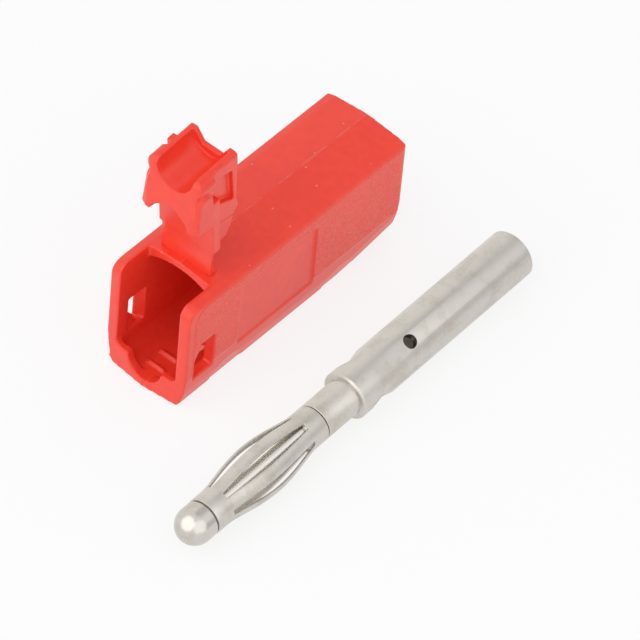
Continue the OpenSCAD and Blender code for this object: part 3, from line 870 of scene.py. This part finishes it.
class PLUG_OT_contact(bpy.types.Operator):
    """Model the turned crimp barrel, the slotted lantern spring and the ball-nosed pin"""
    bl_idname = "plug.contact"
    bl_label = "Spring Contact"
    bl_options = {"REGISTER", "UNDO"}

    def barrel(self, s, at):
        """Crimp barrel with its collar, neck, wire bore and sight hole."""
        neck, out, bore = s.neck / 2, s.barrel / 2, s.wire / 2
        bottom = at.end - s.wire_long
        body = turned([(0, at.joint), (at.fit, at.joint), (at.fit, at.neck),
                       (neck - 0.05, at.neck), (neck, at.neck + 0.05), (neck, at.collar),
                       (out - CHAMFER, at.collar), (out, at.collar + CHAMFER),
                       (out, at.end - CHAMFER), (out - CHAMFER, at.end), (bore + MOUTH, at.end),
                       (bore, at.end - MOUTH), (bore, bottom), (0, bottom - DRILL_TIP)])
        z = at.collar + FLAT_AT
        for side in (-1, 1):
            x = side * (s.flats / 2 + FLAT_RADIUS)
            cut(body, bar(FLAT_RADIUS, (x, -s.barrel, z), (x, s.barrel, z), sides=160))
        hole = bottom + s.sight_up
        cut(body, bar(s.sight / 2, (0, 0, hole), (0, -s.barrel, hole), sides=48))
        soften(body, 0.05, 38)
        return body

    def spring(self, s, at):
        """Rolled sleeve: a grid bent round the axis, its leaves bowed, its slots cut out."""
        ring, bow = s.neck / 2, (s.belly - s.neck) / 2
        sector, long = TURN / s.leaves, at.leaf_b - at.leaf_a
        half = math.asin(s.leaf / 2 / ring)
        turns = []
        for k in range(s.leaves):
            middle = s.roll + sector * (k + 0.5)
            turns += [(middle + half * (i / (LEAF_COLUMNS / 2) - 1), k)
                      for i in range(LEAF_COLUMNS + 1)] + [(middle + sector / 2, None)]
        stations = [at.ring, at.leaf_a - 0.6] \
            + [at.leaf_a + long * i / SPRING_ROWS for i in range(SPRING_ROWS + 1)] \
            + [at.leaf_b + 0.6, at.ring + s.spring]
        columns, rows = len(turns), len(stations) - 1

        def in_slot(face):
            turn = math.atan2(face.center.y, face.center.x) - s.roll
            return at.leaf_a < face.center.z < at.leaf_b and any(
                abs(math.remainder(turn - sector * k, TURN)) < sector / 2 - half
                for k in range(s.leaves))

        pick(None)
        bpy.ops.mesh.primitive_grid_add(x_subdivisions=columns, y_subdivisions=rows, size=1)
        sleeve = bpy.context.object
        for vertex in sleeve.data.vertices:
            turn, leaf = turns[round((vertex.co.x + 0.5) * columns) % columns]
            station = stations[round((vertex.co.y + 0.5) * rows)]
            share = min(1, max(0, (station - at.leaf_a + 0.2) / (long + 0.4)))
            shift = bow * math.sin(math.pi * share) ** 1.25
            middle = turn if leaf is None else s.roll + sector * (leaf + 0.5)
            vertex.co = (ring * math.cos(turn) + shift * math.cos(middle),
                         ring * math.sin(turn) + shift * math.sin(middle), station)
        bpy.ops.object.mode_set(mode="EDIT")
        bpy.ops.mesh.select_mode(type="FACE")
        bpy.ops.object.mode_set(mode="OBJECT")
        for face in sleeve.data.polygons:
            face.select = in_slot(face)
        bpy.ops.object.mode_set(mode="EDIT")
        bpy.ops.mesh.delete(type="FACE")
        settle(sleeve, 1e-3)
        face = sleeve.data.polygons[0]
        if face.normal.dot(Vector((face.center.x, face.center.y, 0))) < 0:
            edit(sleeve)
            bpy.ops.mesh.flip_normals()
            pick(sleeve)
        apply(sleeve, "SOLIDIFY", thickness=s.sheet, offset=-1, use_even_offset=True)
        bevel(sleeve, 0.06)
        return sleeve

    def pin(self, s, at):
        """Ball nose, its shoulder in the front ring and the core through the spring."""
        nose, core, face = s.nose / 2, s.core / 2, at.ring - s.groove
        ball = [(nose * math.sin(t), -nose * math.cos(t))
                for t in (math.pi / 2 * i / 24 for i in range(25))]
        return turned(ball + [(nose, face - 0.08), (nose - 0.08, face), (at.fit, face),
                              (at.fit, at.leaf_a - 0.3), (core, at.leaf_a), (core, at.joint),
                              (0, at.joint)], 72)

    def execute(self, context):
        s = in_mm(context.scene.plug_contact)
        house = in_mm(context.scene.plug_housing)
        finish = context.scene.plug_finish
        neck = s.ring_at + s.spring + s.groove
        collar = neck + s.neck_long
        leaf_b = s.ring_at + s.spring - s.ring_rear
        at = SimpleNamespace(ring=s.ring_at, leaf_a=s.ring_at + s.ring_front, leaf_b=leaf_b,
                             joint=leaf_b + 0.05, neck=neck, collar=collar,
                             end=collar + s.barrel_long, fit=s.neck / 2 - s.sheet - 0.01)
        seat = Matrix.Translation((s.beside, -s.ahead - house.length / 2, s.belly / 2)) \
            @ Matrix.Rotation(s.turn, 4, "Z") @ Matrix.Rotation(-math.pi / 2, 4, "X") \
            @ Matrix.Rotation(s.spin, 4, "Z")
        axis = tuple(seat.to_3x3() @ Vector((0, 0, 1)))
        core_from = seat.translation.dot(Vector(axis)) + at.leaf_a - 0.3
        place(self.barrel(s, at), "crimp_barrel", "contact_body", "housing",
              nickel("turned_nickel", finish, axis), seat)
        place(self.spring(s, at), "lantern_leaves", "lantern_spring", "housing",
              nickel("rolled_nickel", finish, axis, lengthwise=True), seat)
        # the pin's core inside the spring gets painted light from bright_from on
        place(self.pin(s, at), "ball_pin", "nose_pin", "housing",
              nickel("polished_nickel", finish, axis, gloss=0.09, bright_from=core_from), seat)
        return {"FINISHED"}


# Stage: metres, watts and degrees
KEY_LAMP = {"spot": (-0.18, -0.55, 0.45), "size": 1.2, "energy": 2.95}
FILL_LAMP = {"spot": (0.60, -0.15, 0.35), "size": 1.1, "energy": 1.2}
SKY = 0.7  # strength of the world as light
FLAGS = (((-0.10, 0.55, 0.83), (0.90, 0.99), 0.35),  # way, edge and depth of the dim flags
         ((0.83, 0.56, 0.03), (0.86, 0.98), 0.4))
FLOOR_GLOW = 0.8  # share of plain white in the floor as it is seen
CARD_AT = (0.0085, -0.001, 0.0075)
CARD_SIZE = (0.015, 0.042, 1)  # height and length; a plane has no third size
LENS, SENSOR = 411.835, 36  # these two in millimetres
LOOK_AT, DISTANCE = (0.0056576, 0.0020718, 0), 0.5920459
CAMERA_TURN, CAMERA_TIP, CAMERA_ROLL = 36.58737, 47.44908, 5.62289


class PLUG_OT_stage(bpy.types.Operator):
    """Set the pale floor, the soft light and the camera"""
    bl_idname = "plug.stage"
    bl_label = "Stage"
    bl_options = {"REGISTER", "UNDO"}

    def rays(self, wire, *kinds):
        """For each kind of ray, a wire that is 1 for such rays and 0 for the others."""
        path = wire.node("ShaderNodeLightPath").socket.node
        return [Wire(wire.tree, path.outputs[kind]) for kind in kinds]

    def seen(self, wire):
        """1 for what the camera sees, itself or in metal."""
        camera, glossy, through = self.rays(wire, "Is Camera Ray", "Is Glossy Ray",
                                            "Is Transmission Ray")
        return camera.sum("MAXIMUM", camera.sum("MAXIMUM", camera, glossy), through)

    def floor(self, finish):
        """Pale floor that keeps the object's shadow."""
        pick(None)
        bpy.ops.mesh.primitive_plane_add(size=6, location=(0, 0, -0.02 * MM))
        floor = bpy.context.object
        floor.name = "studio_floor"
        material, start = blank_material("pale_floor")
        paint = start.node("ShaderNodeBsdfDiffuse", None, {"Color": (*finish.floor, 1)})
        glow = start.node("ShaderNodeEmission", None, {"Color": (1, 1, 1, 1), "Strength": 1.0})
        shader = start.node("ShaderNodeMixShader", None,
                            {"Fac": self.seen(start) * FLOOR_GLOW, 1: paint, 2: glow})
        start.node("ShaderNodeOutputMaterial", None, {"Surface": shader})
        floor.data.materials.append(material)

    def lamp(self, name, spot, size, energy):
        """Soft round lamp that faces the object."""
        bpy.ops.object.light_add(type="AREA", location=spot)
        lamp = bpy.context.object
        lamp.name = name
        lamp.data.shape = "DISK"
        lamp.data.size = size
        lamp.data.energy = energy
        lamp.rotation_euler = (-Vector(spot)).to_track_quat("-Z", "Y").to_euler()

    def world(self):
        """White to the eye, an even soft grey as light; two dim flags give metal its bands."""
        world = bpy.data.worlds.new("white_tent")
        bpy.context.scene.world = world
        world.use_nodes = True
        world.node_tree.nodes.clear()
        start = Wire(world.node_tree)
        way = start.node("ShaderNodeTexCoord")
        first, second = (way.dot(to).step(*edge) * depth for to, edge, depth in FLAGS)
        glossy, = self.rays(start, "Is Glossy Ray")
        seen = self.seen(start)
        strength = seen - glossy * (first + second) + (1 - seen) * SKY
        shader = start.node("ShaderNodeBackground", None,
                            {"Color": (1, 1, 1, 1), "Strength": strength})
        start.node("ShaderNodeOutputWorld", None, {"Surface": shader})

    def bounce_card(self):
        """White card between housing and contact, seen only as a reflection in the metal."""
        pick(None)
        bpy.ops.mesh.primitive_plane_add(size=1, location=CARD_AT, rotation=(0, math.pi / 2, 0))
        card = bpy.context.object
        card.name = "bounce_card"
        card.scale = CARD_SIZE
        bpy.ops.object.transform_apply()
        card.visible_camera = card.visible_diffuse = False
        card.visible_shadow = card.visible_transmission = False
        material, start = blank_material("white_card")
        glow = start.node("ShaderNodeEmission", None,
                          {"Color": (1, 0.985, 0.965, 1), "Strength": 1.0})
        start.node("ShaderNodeOutputMaterial", None, {"Surface": glow})
        card.data.materials.append(material)

    def camera(self):
        """Camera at the photograph's place: turned, tipped and rolled about where it looks."""
        bpy.ops.object.camera_add()
        camera = bpy.context.object
        camera.name = "photo_camera"
        camera.data.sensor_width = SENSOR
        camera.data.lens = LENS
        camera.data.clip_start, camera.data.clip_end = 0.01, 20
        turn, tip, roll = map(math.radians, (CAMERA_TURN, CAMERA_TIP, CAMERA_ROLL))
        view = Vector((-math.sin(turn) * math.cos(tip), math.cos(turn) * math.cos(tip),
                       -math.sin(tip)))
        facing = view.to_track_quat("-Z", "Y").to_matrix().to_4x4() \
            @ Matrix.Rotation(roll, 4, "Z")
        camera.matrix_world = Matrix.Translation(Vector(LOOK_AT) - DISTANCE * view) @ facing
        bpy.context.scene.camera = camera

    def execute(self, context):
        self.floor(context.scene.plug_finish)
        self.world()
        self.bounce_card()
        self.lamp("key_lamp", **KEY_LAMP)
        self.lamp("fill_lamp", **FILL_LAMP)
        self.camera()
        context.scene.view_settings.view_transform = "Standard"
        return {"FINISHED"}


class PLUG_PT_sidebar(bpy.types.Panel):
    """The plug's pieces and sizes"""
    bl_label = "Banana Plug"
    bl_idname = "PLUG_PT_sidebar"
    bl_space_type = "VIEW_3D"
    bl_region_type = "UI"
    bl_category = "Plug"

    def draw(self, context):
        for operator in OPERATORS:
            self.layout.operator(operator.bl_idname)
        for key, group in GROUPS.items():
            box = self.layout.box()
            box.label(text=group.bl_rna.description)
            for name in group.__annotations__:
                box.prop(getattr(context.scene, key), name)


GROUPS = {
    "plug_housing": HousingSizes,
    "plug_flap": FlapSizes,
    "plug_contact": ContactSizes,
    "plug_finish": Finishes,
}
OPERATORS = (PLUG_OT_housing, PLUG_OT_clamp, PLUG_OT_film_hinge, PLUG_OT_contact, PLUG_OT_stage)
CLASSES = (*GROUPS.values(), *OPERATORS, PLUG_PT_sidebar)


def register():
    for each in CLASSES:
        bpy.utils.register_class(each)
    for key, group in GROUPS.items():
        setattr(bpy.types.Scene, key, PointerProperty(type=group))


def unregister():
    for key in GROUPS:
        delattr(bpy.types.Scene, key)
    for each in reversed(CLASSES):
        bpy.utils.unregister_class(each)


def main():
    register()
    bpy.ops.plug.housing()
    bpy.ops.plug.clamp()
    bpy.ops.plug.film_hinge()
    bpy.ops.plug.contact()
    bpy.ops.plug.stage()


if __name__ == "__main__":
    main()
